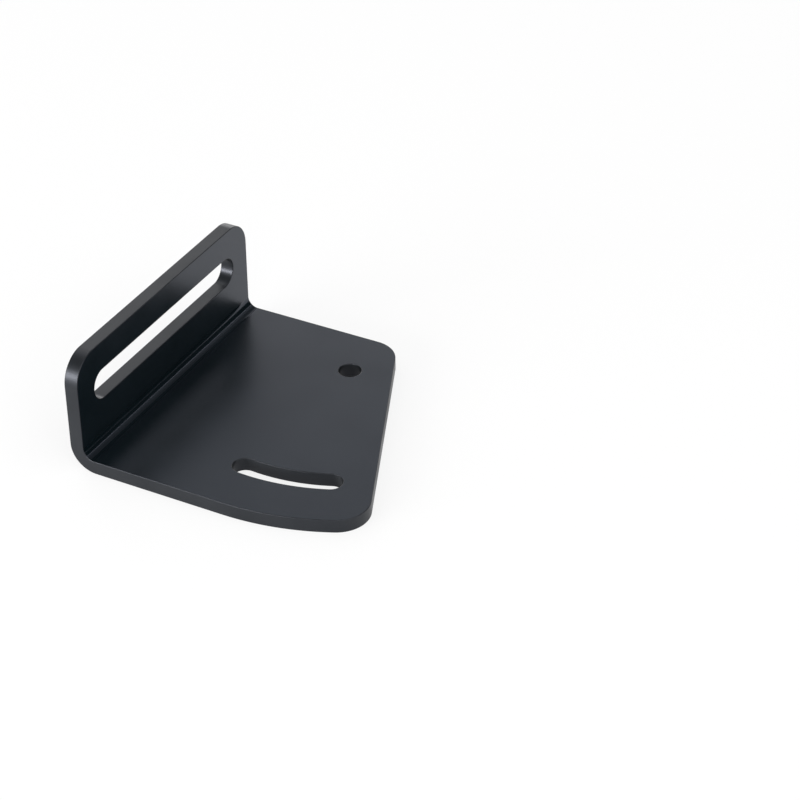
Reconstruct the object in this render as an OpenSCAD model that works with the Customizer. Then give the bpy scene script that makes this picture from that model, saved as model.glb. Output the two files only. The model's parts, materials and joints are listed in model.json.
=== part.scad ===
// Left hand servo bracket: one folded sheet with a slotted flange and a swivel plate.
// Origin: centre of the pivot hole on the underside of the plate.
// X points away from the flange, Y runs along the bend toward the back edge, Z is up.

/* [Sheet] */
// Thickness of the sheet
sheet_t = 4; // [3:0.5:5]
// Radius of the inside of the bend
bend_inner_r = 3; // [1:0.5:5]
// Amount by which the outside of the bend is rounder than a bend of even thickness
bend_thinning = 0.5; // [0:0.1:1.5]

/* [Flange] */
// Length of the flange along the bend
flange_len = 85; // [80:1:100]
// Height of the flange above the underside of the plate
flange_h = 33.5; // [30:0.5:45]
// Radius of the two free corners of the flange
flange_corner_r = 8; // [2:0.5:12]

/* [Flange slot] */
// Width of the slot in the flange
flange_slot_w = 8.6; // [4:0.1:11]
// Overall length of the slot, which is centred along the flange
flange_slot_len = 70; // [30:1:74]
// Height of the slot's centre line above the underside of the plate
flange_slot_z = 21; // [18:0.5:24]

/* [Pivot] */
// Diameter of the pivot hole
pivot_d = 6.4; // [4:0.1:10]
// Distance from the outer face of the flange to the pivot
pivot_x = 46.2; // [35:0.1:60]
// Distance from the pivot to the back edge
pivot_back = 16.5; // [13:0.5:20]
// Distance from the pivot to the leaning side edge
pivot_side = 12; // [10:0.5:16]

/* [Arc slot] */
// Radius of the slot's centre line about the pivot
arc_slot_r = 52; // [45:0.5:58]
// Width of the slot
arc_slot_w = 6.5; // [4:0.1:9]
// Angle from straight ahead of the pivot to the slot's end on the flange side
arc_slot_near = 3.4; // [0:0.1:15]
// Angle from the direction of the side edge to the slot's end beside that edge
arc_slot_far = 0.6; // [-12:0.1:4]

/* [Plate] */
// Lean of the side edge away from the direction of the bend
side_lean = 22.5; // [10:0.5:30]
// Radius of the two corners on the side edge
plate_corner_r = 9; // [3:0.5:10]

/* [Hidden] */
$fn = 96;

// Finish of the sheet
satin_black = [0.13, 0.135, 0.145];
// Distance that a cutter passes beyond the faces it cuts
past = 1;
// Amount by which a round stands proud of the edges that run into it, so that they cross cleanly
proud = 0.001;
// Radius of the outside of the bend
bend_outer_r = sheet_t + bend_inner_r + bend_thinning;
// Outer face of the flange, and the line where the bend runs into the plate
flange_x = -pivot_x;
bend_x = flange_x + bend_outer_r;
// Front edge, which the front arc of the plate touches straight ahead of the pivot
pivot_front = flange_len - pivot_back;
// Centres of the two corner rounds on the side edge
side_inset = pivot_side - plate_corner_r;
back_inset = pivot_back - plate_corner_r;
front_reach = pivot_front - plate_corner_r;
front_along = sqrt(front_reach * front_reach - side_inset * side_inset);
front_corner = from_side(side_inset, front_along);
back_corner = [(side_inset - back_inset * sin(side_lean)) / cos(side_lean), back_inset];
// Angle between the two ends of the arc slot
arc_slot_sweep = arc_slot_near + side_lean + arc_slot_far;

// Point at a distance out from the pivot, square to the side edge, and a distance along it to the front
function from_side(out, along) = [
    out * cos(side_lean) + along * sin(side_lean),
    out * sin(side_lean) - along * cos(side_lean)
];

// Flat outline with two round ends, centred, along the first axis
module slot_outline(length, width) {
    reach = (length - width) / 2;
    square([2 * reach, width], center = true);
    for (side = [-1, 1])
        translate([side * reach, 0])
            circle(d = width);
}

// Flat plate from the bend to the side edge, with the arc in front of the pivot
module plate() {
    front_turn = 90 + atan2(front_corner.y, front_corner.x);
    linear_extrude(sheet_t)
        polygon([
            [bend_x, -pivot_front],
            [0, -pivot_front],
            [0, 0],
            front_corner,
            front_corner + from_side(plate_corner_r, 0),
            back_corner + from_side(plate_corner_r, 0),
            back_corner,
            [back_corner.x, pivot_back],
            [bend_x, pivot_back]
        ]);
    rotate([0, 0, -90])
        rotate_extrude(angle = front_turn)
            square([pivot_front, sheet_t]);
    for (corner = [back_corner, front_corner])
        translate(corner)
            cylinder(r = plate_corner_r + proud, h = sheet_t);
}

// Quarter turn of the sheet between the plate and the flange, where it thins a little
module bend() {
    inner = sheet_t + bend_inner_r;
    difference() {
        translate([bend_x, -pivot_front, bend_outer_r])
            rotate([-90, 90, 0])
                rotate_extrude(angle = 90)
                    square([bend_outer_r, flange_len]);
        translate([flange_x, pivot_back + past, 0])
            rotate([90, 0, 0])
                linear_extrude(flange_len + 2 * past)
                    union() {
                        translate([inner, sheet_t])
                            square(bend_outer_r);
                        translate([sheet_t, inner])
                            square(bend_outer_r);
                        translate([inner, inner])
                            circle(r = bend_inner_r);
                    }
    }
}

// Upright flange above the bend, with round free corners
module flange() {
    rise = flange_h - bend_outer_r;
    translate([flange_x, -pivot_front, bend_outer_r])
        rotate([90, 0, 90])
            linear_extrude(sheet_t)
                union() {
                    square([flange_len, rise - flange_corner_r]);
                    translate([flange_corner_r, 0])
                        square([flange_len - 2 * flange_corner_r, rise]);
                    for (along = [flange_corner_r, flange_len - flange_corner_r])
                        translate([along, rise - flange_corner_r])
                            circle(r = flange_corner_r);
                }
}

module flange_slot() {
    translate([flange_x - past, flange_len / 2 - pivot_front, flange_slot_z])
        rotate([90, 0, 90])
            linear_extrude(sheet_t + 2 * past)
                slot_outline(flange_slot_len, flange_slot_w);
}

module pivot_hole() {
    translate([0, 0, -past])
        cylinder(d = pivot_d, h = sheet_t + 2 * past);
}

// Slot along a circle about the pivot, with round ends
module arc_slot() {
    height = sheet_t + 2 * past;
    translate([0, 0, -past])
        rotate([0, 0, -90 - arc_slot_near]) {
            rotate_extrude(angle = arc_slot_sweep)
                translate([arc_slot_r - arc_slot_w / 2, 0])
                    square([arc_slot_w, height]);
            for (turn = [0, arc_slot_sweep])
                rotate([0, 0, turn])
                    translate([arc_slot_r, 0, 0])
                        cylinder(r = arc_slot_w / 2 + proud, h = height);
        }
}

module bracket() {
    color(satin_black)
        difference() {
            union() {
                plate();
                bend();
                flange();
            }
            flange_slot();
            pivot_hole();
            arc_slot();
        }
}

bracket();
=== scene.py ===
"""Looks of the left hand servo bracket: one folded sheet under a satin black coat.

The sheet is modelled in the part's own frame, in metres. The origin is the centre of the pivot hole on
the underside of the plate, X points away from the flange, Y runs along the bend to the back edge and Z
is up. Sizes in the classes are in millimetres.
"""

import json
import logging
import math
from abc import ABC, abstractmethod
from collections.abc import Callable
from dataclasses import dataclass, replace
from enum import Enum
from typing import Any

import bpy
from mathutils import Matrix, Vector


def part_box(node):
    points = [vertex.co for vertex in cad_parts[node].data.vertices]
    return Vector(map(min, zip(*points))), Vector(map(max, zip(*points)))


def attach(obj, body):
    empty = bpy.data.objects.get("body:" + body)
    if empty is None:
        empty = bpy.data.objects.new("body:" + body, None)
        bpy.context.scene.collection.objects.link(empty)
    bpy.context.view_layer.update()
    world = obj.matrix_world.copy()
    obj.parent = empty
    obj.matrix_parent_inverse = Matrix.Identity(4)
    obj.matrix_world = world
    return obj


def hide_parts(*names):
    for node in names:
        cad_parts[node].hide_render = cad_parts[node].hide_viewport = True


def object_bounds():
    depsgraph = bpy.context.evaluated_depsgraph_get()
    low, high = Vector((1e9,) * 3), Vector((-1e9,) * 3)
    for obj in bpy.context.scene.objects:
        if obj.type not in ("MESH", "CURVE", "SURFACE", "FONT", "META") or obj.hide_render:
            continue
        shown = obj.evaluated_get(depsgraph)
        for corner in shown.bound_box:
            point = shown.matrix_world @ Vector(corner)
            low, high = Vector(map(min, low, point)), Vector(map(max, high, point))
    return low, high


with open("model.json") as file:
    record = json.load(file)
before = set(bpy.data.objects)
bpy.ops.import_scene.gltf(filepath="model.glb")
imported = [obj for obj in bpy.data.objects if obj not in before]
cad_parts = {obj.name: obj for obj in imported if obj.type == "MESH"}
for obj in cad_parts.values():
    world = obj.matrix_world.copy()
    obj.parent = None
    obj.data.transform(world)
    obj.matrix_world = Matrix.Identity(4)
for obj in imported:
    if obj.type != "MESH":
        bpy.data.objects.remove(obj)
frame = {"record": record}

CAD_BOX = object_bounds()
NODE = "bracket"
BODY = "root"

MM = 0.001
# Points closer together than this are one point
SAME_POINT = 1e-6
# Largest distance between a round edge and the straight steps that stand for it, in millimetres
ARC_ERROR = 0.002
# Angles in degrees of a whole, a half and a quarter turn
FULL_TURN = 360.0
HALF_TURN = 180.0
QUARTER_TURN = 90.0
# Edges that turn by less than this, in degrees, lie in one flat face
FLAT_ANGLE = 0.1
# Edges that turn by more than this, in degrees, are sharp
SHARP_ANGLE = 40.0
# Faces that lean by less than this, in degrees, count as level or upright
LEAN_LIMIT = 4.0
# Profile of a bevel that is a part of a circle
ROUND_PROFILE = 0.5
# Weight, up to 100, that a face's area has in the shading of the edges beside it
AREA_WEIGHT = 100

log = logging.getLogger(NODE)

Colour = tuple[float, float, float]


class Axis(Enum):
    """Direction that an arc turns about, or that a cut is square to."""

    X = (1.0, 0.0, 0.0)
    Z = (0.0, 0.0, 1.0)


class Zone(Enum):
    """Part of the sheet's surface with a finish of its own, by its material slot."""

    SKIN = 0
    CUT_EDGE = 1
    INNER_BEND = 2


def millimetres(*lengths: float) -> Vector:
    """Turns lengths in millimetres into a point in metres.

    Args:
        lengths: The three coordinates.

    Returns:
        The point in metres.
    """
    return Vector(lengths) * MM


def arc_steps(radius: float, turn: float) -> int:
    """Says how many straight steps a round edge needs.

    Args:
        radius: Its radius in millimetres.
        turn: Its angle in degrees.

    Returns:
        An odd number, so that no step ends in the middle of the turn.
    """
    step = 2 * math.acos(1 - ARC_ERROR / radius)
    return 2 * math.ceil(math.radians(abs(turn)) / step / 2) + 1


def opaque(colour: Any) -> Any:
    """Gives a plain colour full opacity, and leaves a socket as it is."""
    return (*colour, 1.0) if isinstance(colour, tuple) else colour


def deselect_all() -> None:
    """Leaves no object selected."""
    bpy.ops.object.select_all(action="DESELECT")


def pick_faces(piece: bpy.types.Object, test: Callable[[bpy.types.MeshPolygon], bool]) -> None:
    """Selects the faces of a piece that pass a test, and goes to edit mode.

    Args:
        piece: The object to select in.
        test: Says whether a face is wanted.
    """
    bpy.ops.object.mode_set(mode="EDIT")
    bpy.ops.mesh.select_mode(type="FACE")
    bpy.ops.mesh.select_all(action="DESELECT")
    bpy.ops.object.mode_set(mode="OBJECT")
    for face in piece.data.polygons:
        face.select = test(face)
    bpy.ops.object.mode_set(mode="EDIT")


def pick_edges(piece: bpy.types.Object, test: Callable[[Vector, Vector], bool]) -> None:
    """Selects the edges of a piece whose two ends pass a test, and goes to edit mode.

    Args:
        piece: The object to select in.
        test: Says whether the edge between two points is wanted.
    """
    bpy.ops.object.mode_set(mode="EDIT")
    bpy.ops.mesh.select_mode(type="EDGE")
    bpy.ops.mesh.select_all(action="DESELECT")
    bpy.ops.object.mode_set(mode="OBJECT")
    points = piece.data.vertices
    for edge in piece.data.edges:
        edge.select = test(*(points[index].co for index in edge.vertices))
    bpy.ops.object.mode_set(mode="EDIT")


def apply_modifier(piece: bpy.types.Object, kind: str, **settings: Any) -> None:
    """Adds one modifier to a piece and applies it.

    Args:
        piece: The object that is changed.
        kind: Blender's name for the modifier.
        settings: Values of the modifier.
    """
    modifier = piece.modifiers.new(kind.lower(), kind)
    for name, value in settings.items():
        setattr(modifier, name, value)
    deselect_all()
    piece.select_set(True)
    bpy.context.view_layer.objects.active = piece
    bpy.ops.object.modifier_apply(modifier=modifier.name)


class Pen:
    """Draws a closed outline as by hand: one point is pulled along lines and spun round arcs."""

    def __init__(self, name: str, start: Vector) -> None:
        """Puts the first point down.

        Args:
            name: Name of the object that is drawn.
            start: The first point, in metres.
        """
        deselect_all()
        bpy.ops.mesh.primitive_plane_add(size=MM, location=start)
        bpy.ops.object.transform_apply(location=True, rotation=False, scale=False)
        self.piece: bpy.types.Object = bpy.context.object
        self.piece.name = name
        self.start = start.copy()
        self.tip = start.copy()
        bpy.ops.object.mode_set(mode="EDIT")
        bpy.ops.mesh.select_mode(type="VERT")
        bpy.ops.mesh.select_all(action="SELECT")
        bpy.ops.mesh.merge(type="CENTER")

    def line_to(self, end: Vector) -> None:
        """Pulls the point along a straight line.

        Args:
            end: Where the line ends, in metres.
        """
        bpy.ops.mesh.extrude_vertices_move(TRANSFORM_OT_translate={"value": end - self.tip})
        self.tip = end.copy()

    def arc(self, centre: Vector, axis: Axis, turn: float) -> None:
        """Spins the point about an axis.

        Args:
            centre: A point on the axis, in metres.
            axis: The direction of the axis.
            turn: Angle in degrees, by the right hand rule.
        """
        steps = arc_steps((self.tip - centre).length / MM, turn)
        angle = math.radians(turn)
        # The operator counts its angle the other way round
        bpy.ops.mesh.spin(steps=steps, angle=-angle, center=centre, axis=axis.value, use_auto_merge=False)
        self.tip = centre + Matrix.Rotation(angle, 3, axis.value) @ (self.tip - centre)

    def fill(self, depth: Vector) -> bpy.types.Object:
        """Closes the outline, fills it and pulls it to a solid.

        Args:
            depth: The way that the face is pulled, in metres.

        Returns:
            The solid, in object mode.
        """
        bpy.ops.mesh.select_all(action="SELECT")
        bpy.ops.mesh.remove_doubles(threshold=SAME_POINT)
        bpy.ops.mesh.edge_face_add()
        bpy.ops.mesh.extrude_region_move(TRANSFORM_OT_translate={"value": depth})
        bpy.ops.mesh.select_all(action="SELECT")
        bpy.ops.mesh.normals_make_consistent(inside=False)
        bpy.ops.object.mode_set(mode="OBJECT")
        return self.piece


class Opening(ABC):
    """A hole or slot through the sheet."""

    @abstractmethod
    def cutter(self) -> bpy.types.Object:
        """Makes the solid that is cut out of the sheet.

        Returns:
            The solid to cut with.
        """

    def cut_from(self, piece: bpy.types.Object) -> None:
        """Cuts the opening out of a piece.

        Args:
            piece: The sheet.
        """
        cutter = self.cutter()
        apply_modifier(piece, "BOOLEAN", operation="DIFFERENCE", solver="EXACT", object=cutter)
        bpy.data.objects.remove(cutter)


@dataclass
class PivotHole(Opening):
    """Round hole on the plate's swivel axis, at the origin."""

    radius: float
    sheet_t: float
    past: float = 1.0

    def cutter(self) -> bpy.types.Object:
        """Draws the circle about the origin and pulls it through the plate.

        Returns:
            The solid to cut with.
        """
        pen = Pen("pivot_hole_cutter", millimetres(self.radius, 0.0, -self.past))
        pen.arc(millimetres(0.0, 0.0, -self.past), Axis.Z, FULL_TURN)
        return pen.fill(millimetres(0.0, 0.0, self.sheet_t + 2 * self.past))


@dataclass
class ArcSlot(Opening):
    """Curved slot about the pivot, which lets the plate swing under a screw."""

    radius: float
    width: float
    middle_angle: float
    sheet_t: float
    # Angle between the centres of the two round ends, in degrees
    sweep: float = 26.5
    past: float = 1.0

    def place(self, radius: float, angle: float) -> Vector:
        """Gives a point below the plate by its radius and angle about the pivot.

        Args:
            radius: Distance from the pivot.
            angle: Angle from the X axis, in degrees.

        Returns:
            The point in metres.
        """
        turn = math.radians(angle)
        return millimetres(radius * math.cos(turn), radius * math.sin(turn), -self.past)

    def cutter(self) -> bpy.types.Object:
        """Draws two concentric arcs joined by round ends and pulls them through the plate.

        Returns:
            The solid to cut with.
        """
        pivot = self.place(0.0, 0.0)
        near = self.middle_angle - self.sweep / 2
        far = self.middle_angle + self.sweep / 2
        pen = Pen("arc_slot_cutter", self.place(self.radius + self.width / 2, near))
        pen.arc(pivot, Axis.Z, self.sweep)
        pen.arc(self.place(self.radius, far), Axis.Z, HALF_TURN)
        pen.arc(pivot, Axis.Z, -self.sweep)
        pen.arc(self.place(self.radius, near), Axis.Z, HALF_TURN)
        return pen.fill(millimetres(0.0, 0.0, self.sheet_t + 2 * self.past))


@dataclass
class FlangeSlot(Opening):
    """Long straight slot through the flange."""

    centre: Vector
    length: float
    width: float
    sheet_t: float
    past: float = 1.0

    def cutter(self) -> bpy.types.Object:
        """Draws two straight sides joined by round ends and pulls them through the flange.

        Returns:
            The solid to cut with.
        """
        reach = (self.length - self.width) / 2
        half = self.width / 2
        x, y, z = self.centre
        outside = x - self.past
        pen = Pen("flange_slot_cutter", millimetres(outside, y - reach, z - half))
        pen.line_to(millimetres(outside, y + reach, z - half))
        pen.arc(millimetres(outside, y + reach, z), Axis.X, HALF_TURN)
        pen.line_to(millimetres(outside, y - reach, z + half))
        pen.arc(millimetres(outside, y - reach, z), Axis.X, HALF_TURN)
        return pen.fill(millimetres(self.sheet_t + 2 * self.past, 0.0, 0.0))


@dataclass
class FoldedSheet:
    """The bracket: a flat swivel plate, one bend and an upright slotted flange, from one sheet."""

    flange_x: float
    front_y: float
    back_y: float
    top_z: float
    sheet_t: float
    openings: list[Opening]
    # Height at which the flange's faces are split, through the middle of its slot
    split_z: float
    bend_inner_r: float = 3.0
    bend_outer_r: float = 7.5
    flange_corner_r: float = 8.0
    plate_corner_r: float = 9.0
    pivot_side: float = 12.0
    side_lean: float = 22.5
    edge_break: float = 0.2
    edge_break_steps: int = 4

    @classmethod
    def from_frame(cls) -> "FoldedSheet":
        """Takes the sheet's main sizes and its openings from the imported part.

        Returns:
            The sheet.
        """
        low, high = (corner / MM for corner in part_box(NODE))
        mounts = {mount["name"]: mount for mount in frame["record"]["mounts"]}
        hole = mounts["pivot_hole"]["dims"]
        sheet_t = hole["length_mm"]
        arc_x, arc_y, _ = (value / MM for value in mounts["arc_slot"]["pos_m"])
        slot = mounts["flange_slot"]
        slot_centre = Vector(slot["pos_m"]) / MM
        openings = [
            PivotHole(hole["r_mm"], sheet_t),
            ArcSlot(
                radius=math.hypot(arc_x, arc_y),
                width=2 * mounts["arc_slot"]["dims"]["hole_r_mm"],
                middle_angle=math.degrees(math.atan2(arc_y, arc_x)),
                sheet_t=sheet_t,
            ),
            FlangeSlot(slot_centre, slot["dims"]["slot_length_mm"], 2 * slot["dims"]["hole_r_mm"], sheet_t),
        ]
        return cls(low.x, low.y, high.y, high.z, sheet_t, openings, slot_centre.z)

    @property
    def inner_x(self) -> float:
        """Inner face of the flange."""
        return self.flange_x + self.sheet_t

    @property
    def side_normal(self) -> Vector:
        """Direction square to the leaning side edge, away from the plate."""
        lean = math.radians(self.side_lean)
        return Vector((math.cos(lean), math.sin(lean), 0.0))

    @property
    def front_corner(self) -> Vector:
        """Centre of the round between the front arc and the side edge."""
        out = self.pivot_side - self.plate_corner_r
        reach = -self.front_y - self.plate_corner_r
        along = math.sqrt(reach * reach - out * out)
        normal = self.side_normal
        return normal * out + Vector((normal.y, -normal.x, 0.0)) * along

    @property
    def back_corner(self) -> Vector:
        """Centre of the round between the side edge and the back edge."""
        y = self.back_y - self.plate_corner_r
        out = self.pivot_side - self.plate_corner_r
        normal = self.side_normal
        return Vector(((out - y * normal.y) / normal.x, y, 0.0))

    def build(self) -> bpy.types.Object:
        """Makes the whole sheet.

        Returns:
            The finished mesh object.
        """
        piece = self.draw_plate()
        self.raise_flange(piece)
        self.round_bend(piece)
        self.round_flange_corners(piece)
        self.split_faces(piece)
        for opening in self.openings:
            opening.cut_from(piece)
        self.break_edges(piece)
        self.smooth(piece)
        return piece

    def draw_plate(self) -> bpy.types.Object:
        """Draws the plate's outline from the flange to the side edge and gives it the sheet's thickness.

        Returns:
            The flat plate.
        """
        front_corner = self.front_corner
        front_turn = QUARTER_TURN + math.degrees(math.atan2(front_corner.y, front_corner.x))
        pen = Pen("folded_sheet", millimetres(self.flange_x, self.front_y, 0.0))
        pen.line_to(millimetres(0.0, self.front_y, 0.0))
        pen.arc(Vector(), Axis.Z, front_turn)
        pen.arc(front_corner * MM, Axis.Z, QUARTER_TURN + self.side_lean - front_turn)
        pen.line_to((self.back_corner + self.side_normal * self.plate_corner_r) * MM)
        pen.arc(self.back_corner * MM, Axis.Z, QUARTER_TURN - self.side_lean)
        pen.line_to(millimetres(self.flange_x, self.back_y, 0.0))
        pen.line_to(pen.start)
        return pen.fill(millimetres(0.0, 0.0, self.sheet_t))

    def raise_flange(self, piece: bpy.types.Object) -> None:
        """Splits a strip off the plate's top face along its straight side and pulls it up to the flange.

        Args:
            piece: The flat plate.
        """
        inner_x = self.inner_x * MM
        top = self.sheet_t * MM
        bpy.ops.object.mode_set(mode="EDIT")
        bpy.ops.mesh.select_all(action="SELECT")
        bpy.ops.mesh.bisect(plane_co=(inner_x, 0.0, 0.0), plane_no=Axis.X.value, threshold=SAME_POINT)
        pick_faces(piece, lambda face: face.center.x < inner_x and face.center.z > top - SAME_POINT)
        rise = millimetres(0.0, 0.0, self.top_z - self.sheet_t)
        bpy.ops.mesh.extrude_region_move(TRANSFORM_OT_translate={"value": rise})
        # The split is still there on the other faces, and would stop the wide round of the bend
        bpy.ops.mesh.select_all(action="SELECT")
        bpy.ops.mesh.dissolve_limited(angle_limit=math.radians(FLAT_ANGLE))
        bpy.ops.object.mode_set(mode="OBJECT")

    def round_bend(self, piece: bpy.types.Object) -> None:
        """Rounds the outside and the inside of the fold.

        Args:
            piece: The plate with the upright flange.
        """
        for x, z, radius in (
            (self.flange_x, 0.0, self.bend_outer_r),
            (self.inner_x, self.sheet_t, self.bend_inner_r),
        ):
            corner = millimetres(x, 0.0, z)

            def along_fold(first: Vector, second: Vector) -> bool:
                """Says whether both points lie on the corner line."""
                return all(math.hypot(p.x - corner.x, p.z - corner.z) < SAME_POINT for p in (first, second))

            pick_edges(piece, along_fold)
            bpy.ops.mesh.bevel(
                offset=radius * MM,
                segments=arc_steps(radius, QUARTER_TURN),
                profile=ROUND_PROFILE,
                affect="EDGES",
                clamp_overlap=False,
            )
            bpy.ops.object.mode_set(mode="OBJECT")

    def round_flange_corners(self, piece: bpy.types.Object) -> None:
        """Rounds the two free corners of the flange.

        Args:
            piece: The folded sheet.
        """
        ends = (self.front_y * MM, self.back_y * MM)

        def free_corner(first: Vector, second: Vector) -> bool:
            """Says whether both points lie on the same end of the flange's top edge."""
            at_top = min(first.z, second.z) > self.top_z * MM - SAME_POINT
            return at_top and any(max(abs(p.y - end) for p in (first, second)) < SAME_POINT for end in ends)

        pick_edges(piece, free_corner)
        bpy.ops.mesh.bevel(
            offset=self.flange_corner_r * MM,
            segments=arc_steps(self.flange_corner_r, QUARTER_TURN),
            profile=ROUND_PROFILE,
            affect="EDGES",
        )
        bpy.ops.object.mode_set(mode="OBJECT")

    def split_faces(self, piece: bpy.types.Object) -> None:
        """Splits the flat faces through the middle of the openings, so that no face has a hole in it.

        Args:
            piece: The folded sheet.
        """
        bpy.ops.object.mode_set(mode="EDIT")
        for place, normal in ((Vector(), Axis.X), (millimetres(0.0, 0.0, self.split_z), Axis.Z)):
            bpy.ops.mesh.select_all(action="SELECT")
            bpy.ops.mesh.bisect(plane_co=place, plane_no=normal.value, threshold=SAME_POINT)
        bpy.ops.object.mode_set(mode="OBJECT")

    def break_edges(self, piece: bpy.types.Object) -> None:
        """Rounds all cut edges a little.

        Args:
            piece: The sheet with its openings.
        """
        apply_modifier(
            piece,
            "BEVEL",
            width=self.edge_break * MM,
            segments=self.edge_break_steps,
            profile=ROUND_PROFILE,
            limit_method="ANGLE",
            angle_limit=math.radians(SHARP_ANGLE),
            use_clamp_overlap=False,
        )

    def smooth(self, piece: bpy.types.Object) -> None:
        """Shades the rounds smoothly and keeps the flat faces even up to them.

        Args:
            piece: The finished mesh.
        """
        deselect_all()
        piece.select_set(True)
        bpy.context.view_layer.objects.active = piece
        bpy.ops.object.shade_smooth_by_angle(angle=math.radians(SHARP_ANGLE))
        apply_modifier(piece, "WEIGHTED_NORMAL", mode="FACE_AREA", weight=AREA_WEIGHT, keep_sharp=True)

    def zone(self, face: bpy.types.MeshPolygon) -> Zone:
        """Says which zone a face lies in.

        Args:
            face: A face of the finished mesh.

        Returns:
            The inside of the bend, the sheet's own surface, or an edge that was cut.
        """
        slight = math.sin(math.radians(LEAN_LIMIT))
        nearly = math.cos(math.radians(LEAN_LIMIT))
        x, _, z = face.center / MM
        across, along, level = (abs(value) for value in face.normal)
        beside_flange = 0.0 < x - self.inner_x < self.bend_inner_r
        above_plate = 0.0 < z - self.sheet_t < self.bend_inner_r
        if along < slight and beside_flange and above_plate:
            return Zone.INNER_BEND
        if x > self.flange_x + self.bend_outer_r:
            is_skin = level > nearly
        elif z > self.bend_outer_r:
            is_skin = across > nearly
        else:
            is_skin = along < slight
        return Zone.SKIN if is_skin else Zone.CUT_EDGE

    def dress(self, piece: bpy.types.Object, finishes: "dict[Zone, SatinCoat]") -> None:
        """Gives each zone of the surface its finish.

        Args:
            piece: The finished mesh.
            finishes: The finish of each zone.
        """
        piece.data.materials.clear()
        for zone in Zone:
            piece.data.materials.append(finishes[zone].make())
        for face in piece.data.polygons:
            face.material_index = self.zone(face).value


@dataclass(frozen=True)
class Value:
    """A number that varies over a surface: one socket, with arithmetic that adds Math nodes."""

    graph: "NodeGraph"
    socket: bpy.types.NodeSocket

    def __add__(self, other: "Value | float") -> "Value":
        """Adds a value or number."""
        return self.graph.maths("ADD", self, other)

    def __radd__(self, other: float) -> "Value":
        """Adds this value to a number."""
        return self.graph.maths("ADD", other, self)

    def __sub__(self, other: "Value | float") -> "Value":
        """Takes a value or number away."""
        return self.graph.maths("SUBTRACT", self, other)

    def __rsub__(self, other: float) -> "Value":
        """Takes this value away from a number."""
        return self.graph.maths("SUBTRACT", other, self)

    def __mul__(self, other: "Value | float") -> "Value":
        """Multiplies by a value or number."""
        return self.graph.maths("MULTIPLY", self, other)

    def __rmul__(self, other: float) -> "Value":
        """Multiplies a number by this value."""
        return self.graph.maths("MULTIPLY", other, self)

    def __lt__(self, other: "Value | float") -> "Value":
        """Gives 1 where this value is below the other, and 0 elsewhere."""
        return self.graph.maths("LESS_THAN", self, other)

    def __gt__(self, other: "Value | float") -> "Value":
        """Gives 1 where this value is above the other, and 0 elsewhere."""
        return self.graph.maths("GREATER_THAN", self, other)


class NodeGraph:
    """Builds the nodes of one material or world."""

    def __init__(self, tree: bpy.types.NodeTree) -> None:
        """Starts with an empty tree.

        Args:
            tree: The node tree to fill.
        """
        self.tree = tree
        tree.nodes.clear()

    def node(self, kind: str, settings: dict[str, Any], inputs: dict[Any, Any]) -> bpy.types.Node:
        """Adds one node.

        Args:
            kind: Blender's name for the node's type.
            settings: Properties of the node, which are set first.
            inputs: Values or links of its sockets, by name or number.

        Returns:
            The node.
        """
        made = self.tree.nodes.new(kind)
        for name, value in settings.items():
            setattr(made, name, value)
        for name, value in inputs.items():
            if isinstance(value, Value):
                value = value.socket
            if isinstance(value, bpy.types.NodeSocket):
                self.tree.links.new(value, made.inputs[name])
            else:
                made.inputs[name].default_value = value
        return made

    def maths(self, operation: str, first: Value | float, second: Value | float) -> Value:
        """Adds one Math node.

        Args:
            operation: What the node does.
            first: Its first number.
            second: Its second number.

        Returns:
            The result.
        """
        made = self.node("ShaderNodeMath", {"operation": operation}, {0: first, 1: second})
        return Value(self, made.outputs[0])

    def object_place(self) -> bpy.types.NodeSocket:
        """Gives the place on the object, in metres."""
        return self.node("ShaderNodeTexCoord", {}, {}).outputs["Object"]

    def noise(self, size: float, detail: float = 2.0, roughness: float = 0.5) -> Value:
        """Adds a soft noise.

        Args:
            size: Size of its blotches, in millimetres.
            detail: Number of finer layers.
            roughness: Share that each finer layer adds.

        Returns:
            A value about 0.5.
        """
        inputs = {
            "Vector": self.object_place(),
            "Scale": 1.0 / (size * MM),
            "Detail": detail,
            "Roughness": roughness,
        }
        return Value(self, self.node("ShaderNodeTexNoise", {}, inputs).outputs["Fac"])

    def remap(self, value: Value, low: float, high: float, to_low: float, to_high: float) -> Value:
        """Stretches a range of a value over another range and stops at its ends.

        Args:
            value: What is stretched.
            low: Start of its range.
            high: End of its range.
            to_low: Result at the start.
            to_high: Result at the end.

        Returns:
            The stretched value.
        """
        inputs = {"Value": value, "From Min": low, "From Max": high, "To Min": to_low, "To Max": to_high}
        made = self.node("ShaderNodeMapRange", {"interpolation_type": "SMOOTHSTEP"}, inputs)
        return Value(self, made.outputs["Result"])

    def mix_colours(self, factor: Value, first: Any, second: Any) -> bpy.types.NodeSocket:
        """Mixes two colours.

        Args:
            factor: Share of the second colour.
            first: Colour or socket at 0.
            second: Colour or socket at 1.

        Returns:
            The mixed colour.
        """
        # The colour sockets share their names with others, so they go by number
        inputs = {"Factor": factor, 6: opaque(first), 7: opaque(second)}
        return self.node("ShaderNodeMix", {"data_type": "RGBA"}, inputs).outputs[2]


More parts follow.
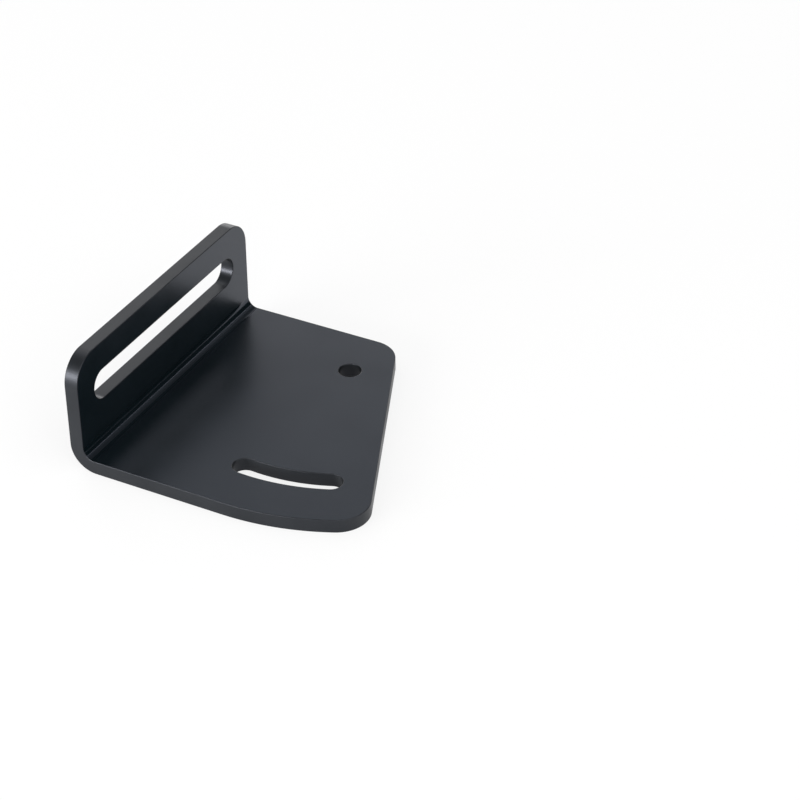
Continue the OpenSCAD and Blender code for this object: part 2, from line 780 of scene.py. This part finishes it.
@dataclass(frozen=True)
class SatinCoat:
    """Thin satin black coat, with a cloudy tone, an uneven sheen and a fine grain."""

    name: str
    dark: Colour
    pale: Colour
    sheen_low: float
    sheen_high: float
    grain_size: float
    grain_height: float
    wave_height: float
    specks: float
    ior: float = 1.5
    tint: Colour = (0.73, 0.78, 1.0)
    speck_colour: Colour = (0.16, 0.17, 0.18)
    cloud_size: float = 14.0
    # Levels of the cloudy noise over which the tone and the sheen go from one end to the other
    tone_range: tuple[float, float] = (0.3, 0.7)
    sheen_range: tuple[float, float] = (0.25, 0.75)
    wave_size: float = 9.0
    speck_spacing: float = 3.2
    speck_radius: float = 0.11
    # How much duller a speck is than the coat
    speck_dullness: float = 0.3

    def make(self) -> bpy.types.Material:
        """Builds the material.

        Returns:
            The material.
        """
        material = bpy.data.materials.new(self.name)
        material.use_nodes = True
        graph = NodeGraph(material.node_tree)
        clouds = graph.noise(self.cloud_size, detail=4.0)
        grain = graph.noise(self.grain_size, detail=3.0, roughness=0.6)
        waves = graph.noise(self.wave_size, detail=1.0)
        speck = self.speck_mask(graph)
        tone = graph.remap(clouds, *self.tone_range, 0.0, 1.0)
        coat = graph.mix_colours(tone, self.dark, self.pale)
        colour = graph.mix_colours(speck, coat, self.speck_colour)
        sheen = graph.remap(clouds, *self.sheen_range, self.sheen_low, self.sheen_high)
        roughness = sheen + speck * self.speck_dullness
        height = grain * (self.grain_height * MM) + waves * (self.wave_height * MM)
        bump = graph.node("ShaderNodeBump", {}, {"Strength": 1.0, "Distance": 1.0, "Height": height})
        surface = graph.node(
            "ShaderNodeBsdfPrincipled",
            {},
            {
                "Base Color": colour,
                "Roughness": roughness,
                "IOR": self.ior,
                "Specular Tint": opaque(self.tint),
                "Normal": bump.outputs["Normal"],
            },
        )
        graph.node("ShaderNodeOutputMaterial", {}, {"Surface": surface.outputs["BSDF"]})
        return material

    def speck_mask(self, graph: NodeGraph) -> Value:
        """Scatters a few tiny pale specks.

        Args:
            graph: The material's nodes.

        Returns:
            1 on a speck and 0 elsewhere.
        """
        cells = graph.node(
            "ShaderNodeTexVoronoi",
            {"feature": "F1"},
            {"Vector": graph.object_place(), "Scale": 1.0 / (self.speck_spacing * MM)},
        )
        chance = graph.node("ShaderNodeSeparateColor", {}, {"Color": cells.outputs["Color"]})
        near = Value(graph, cells.outputs["Distance"]) < self.speck_radius / self.speck_spacing
        chosen = Value(graph, chance.outputs["Red"]) < self.specks
        return near * chosen


@dataclass(frozen=True)
class Camera:
    """Camera at the photograph's place: its view of the part, in degrees and millimetres."""

    azimuth: float = 27.872
    elevation: float = 34.424
    roll: float = -0.442
    distance: float = 640.36
    aim: tuple[float, float, float] = (20.291, -8.846, 5.76)
    lens: float = 106.51
    sensor: float = 36.0
    # Nearest distance that the lens sees, in metres
    nearest: float = 0.01

    def make(self) -> bpy.types.Object:
        """Places the camera and makes it the scene's own.

        Returns:
            The camera.
        """
        azimuth = math.radians(self.azimuth)
        elevation = math.radians(self.elevation)
        roll = math.radians(self.roll)
        level = math.cos(elevation)
        back = Vector((math.sin(azimuth) * level, -math.cos(azimuth) * level, math.sin(elevation)))
        right = Vector((math.cos(azimuth), math.sin(azimuth), 0.0))
        up = back.cross(right)
        turned_right = right * math.cos(roll) + up * math.sin(roll)
        turned_up = up * math.cos(roll) - right * math.sin(roll)
        lens = bpy.data.cameras.new("camera")
        lens.lens = self.lens
        lens.sensor_width = self.sensor
        lens.clip_start = self.nearest
        camera = bpy.data.objects.new("camera", lens)
        bpy.context.scene.collection.objects.link(camera)
        turn = Matrix((turned_right, turned_up, back)).transposed().to_4x4()
        place = (Vector(self.aim) + back * self.distance) * MM
        camera.matrix_world = Matrix.Translation(place) @ turn
        bpy.context.scene.camera = camera
        return camera


@dataclass(frozen=True)
class SoftBox:
    """A lamp behind a wide diffuser."""

    name: str
    place: tuple[float, float, float]
    width: float
    height: float
    power: float

    def make(self) -> bpy.types.Object:
        """Hangs the lamp and turns it to the part.

        Returns:
            The lamp.
        """
        lamp = bpy.data.lights.new(self.name, "AREA")
        lamp.shape = "RECTANGLE"
        lamp.size = self.width
        lamp.size_y = self.height
        lamp.energy = self.power
        light = bpy.data.objects.new(self.name, lamp)
        bpy.context.scene.collection.objects.link(light)
        place = Vector(self.place)
        turn = (-place).to_track_quat("-Z", "Y").to_matrix().to_4x4()
        light.matrix_world = Matrix.Translation(place) @ turn
        return light


@dataclass(frozen=True)
class WallPatch:
    """A part of the surroundings with a light level of its own and a soft rim.

    All angles are in degrees. The azimuth runs from straight behind the part to the right.
    """

    azimuth: float
    elevation: float
    inner: float
    outer: float
    level: float

    @property
    def middle(self) -> Vector:
        """Direction of the patch's middle."""
        azimuth, elevation = math.radians(self.azimuth), math.radians(self.elevation)
        level = math.cos(elevation)
        return Vector((math.sin(azimuth) * level, math.cos(azimuth) * level, math.sin(elevation)))

    def shade(self, graph: NodeGraph, way: bpy.types.NodeSocket) -> Value:
        """Gives the share of the wall's light in each direction.

        Args:
            graph: The world's nodes.
            way: The direction that is seen.

        Returns:
            The patch's level in its middle, and 1 outside it.
        """
        inputs = {0: way, 1: self.middle}
        toward = graph.node("ShaderNodeVectorMath", {"operation": "DOT_PRODUCT"}, inputs)
        rim, core = (math.cos(math.radians(angle)) for angle in (self.outer, self.inner))
        return graph.remap(Value(graph, toward.outputs["Value"]), rim, core, 1.0, self.level)


@dataclass(frozen=True)
class Studio:
    """White sweep with soft light all round, a glow low at the back, dark overhead and at the right, and
    shade painted on the floor about the pivot.
    """

    # Side of the floor in metres, and its distance below the part in millimetres
    floor_size: float = 12.0
    floor_drop: float = 0.02
    floor_colour: Colour = (0.97, 0.97, 0.97)
    # Share of plain white in what the lens sees of the floor outside the painted shade, and in what
    # reflections show of it
    floor_white: float = 0.8
    mirrored_white: float = 0.4
    # Radius about the pivot, in millimetres, inside which the deep shade under the plate is painted on the
    # floor as a dark colour, with no white share for the lens
    painted_shade_radius: float = 8.0
    painted_shade_colour: Colour = (0.04, 0.044, 0.047)
    wall_colour: Colour = (1.0, 1.0, 1.0)
    wall_level: float = 1.34
    patches: tuple[WallPatch, ...] = (
        # Dark overhead, in front and behind
        WallPatch(azimuth=-158.0, elevation=57.0, inner=24.0, outer=56.0, level=0.15),
        WallPatch(azimuth=-1.0, elevation=57.5, inner=18.0, outer=26.5, level=0.14),
        # Dim at the right, and dark low down there
        WallPatch(azimuth=37.0, elevation=35.0, inner=9.0, outer=17.0, level=0.2),
        WallPatch(azimuth=44.0, elevation=3.0, inner=24.0, outer=32.0, level=0.035),
        # Glow low down at the back, with a dim middle
        WallPatch(azimuth=-38.0, elevation=22.0, inner=6.0, outer=26.0, level=2.15),
        WallPatch(azimuth=-33.4, elevation=29.8, inner=7.7, outer=15.4, level=0.24),
    )
    lamps: tuple[SoftBox, ...] = (
        SoftBox("front_strip", (-0.75, -1.75, 0.38), 1.6, 0.42, 38.0),
        SoftBox("fill", (1.1, -1.3, 1.5), 1.6, 1.2, 12.0),
        SoftBox("side_strip", (0.715, 1.010, 0.778), 1.0, 0.05, 0.34),
    )

    def make(self) -> None:
        """Lays the floor and sets the light."""
        self.lay_floor()
        self.light_walls()
        for lamp in self.lamps:
            lamp.make()
        settings = bpy.context.scene.view_settings
        settings.view_transform = "Standard"

    def lay_floor(self) -> bpy.types.Object:
        """Lays a white floor just below the part, with deep shade painted dark on it about the pivot.

        Returns:
            The floor.
        """
        deselect_all()
        height = CAD_BOX[0].z - self.floor_drop * MM
        bpy.ops.mesh.primitive_plane_add(size=self.floor_size, location=(0.0, 0.0, height))
        floor = bpy.context.object
        floor.name = "floor"
        material = bpy.data.materials.new("white_floor")
        material.use_nodes = True
        graph = NodeGraph(material.node_tree)
        path = graph.node("ShaderNodeLightPath", {}, {})
        reach = graph.node("ShaderNodeVectorMath", {"operation": "LENGTH"}, {0: graph.object_place()})
        # Near the pivot the floor is painted dark as shade, and the lens gets no white share there
        outside_painted_shade = Value(graph, reach.outputs["Value"]) > self.painted_shade_radius * MM
        seen = Value(graph, path.outputs["Is Camera Ray"]) * outside_painted_shade * self.floor_white
        seen = seen + Value(graph, path.outputs["Is Glossy Ray"]) * self.mirrored_white
        colour = graph.mix_colours(outside_painted_shade, self.painted_shade_colour, self.floor_colour)
        matt = graph.node("ShaderNodeBsdfDiffuse", {}, {"Color": colour})
        white = graph.node("ShaderNodeEmission", {}, {"Strength": 1.0})
        mix = graph.node(
            "ShaderNodeMixShader",
            {},
            {0: seen, 1: matt.outputs["BSDF"], 2: white.outputs["Emission"]},
        )
        graph.node("ShaderNodeOutputMaterial", {}, {"Surface": mix.outputs["Shader"]})
        floor.data.materials.append(material)
        return floor

    def light_walls(self) -> None:
        """Makes the surroundings white apart from the patches, which the lens doesn't see."""
        world = bpy.data.worlds.new("studio")
        world.use_nodes = True
        bpy.context.scene.world = world
        graph = NodeGraph(world.node_tree)
        way = graph.node("ShaderNodeTexCoord", {}, {}).outputs["Generated"]
        level: Value | float = self.wall_level
        for patch in self.patches:
            level = patch.shade(graph, way) * level
        lens = Value(graph, graph.node("ShaderNodeLightPath", {}, {}).outputs["Is Camera Ray"])
        inputs = {"Color": opaque(self.wall_colour), "Strength": level * (1.0 - lens) + lens}
        walls = graph.node("ShaderNodeBackground", {}, inputs)
        graph.node("ShaderNodeOutputWorld", {}, {"Surface": walls.outputs["Background"]})


def main() -> None:
    """Builds the sheet, dresses it and sets it in the studio."""
    logging.basicConfig(level=logging.INFO, format="%(name)s: %(message)s")
    sheet = FoldedSheet.from_frame()
    piece = sheet.build()
    skin = SatinCoat(
        "satin_black_skin",
        dark=(0.0009, 0.0038, 0.0049),
        pale=(0.0016, 0.0050, 0.0064),
        sheen_low=0.28,
        sheen_high=0.325,
        grain_size=0.35,
        grain_height=0.0005,
        wave_height=0.0008,
        specks=0.006,
        ior=1.57,
    )
    cut_edge = SatinCoat(
        "satin_black_cut_edge",
        dark=(0.0028, 0.0040, 0.0048),
        pale=(0.0050, 0.0064, 0.0072),
        sheen_low=0.30,
        sheen_high=0.44,
        grain_size=0.22,
        grain_height=0.004,
        wave_height=0.001,
        specks=0.06,
        tint=(0.85, 0.88, 1.0),
    )
    # The fold rubs the coat smoother inside the bend
    inner_bend = replace(skin, name="satin_black_inner_bend", sheen_low=0.13, sheen_high=0.16)
    sheet.dress(piece, {Zone.SKIN: skin, Zone.CUT_EDGE: cut_edge, Zone.INNER_BEND: inner_bend})
    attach(piece, BODY)
    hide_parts(NODE)
    log.info("%s: %d faces", piece.name, len(piece.data.polygons))
    Studio().make()
    Camera().make()


if __name__ == "__main__":
    main()
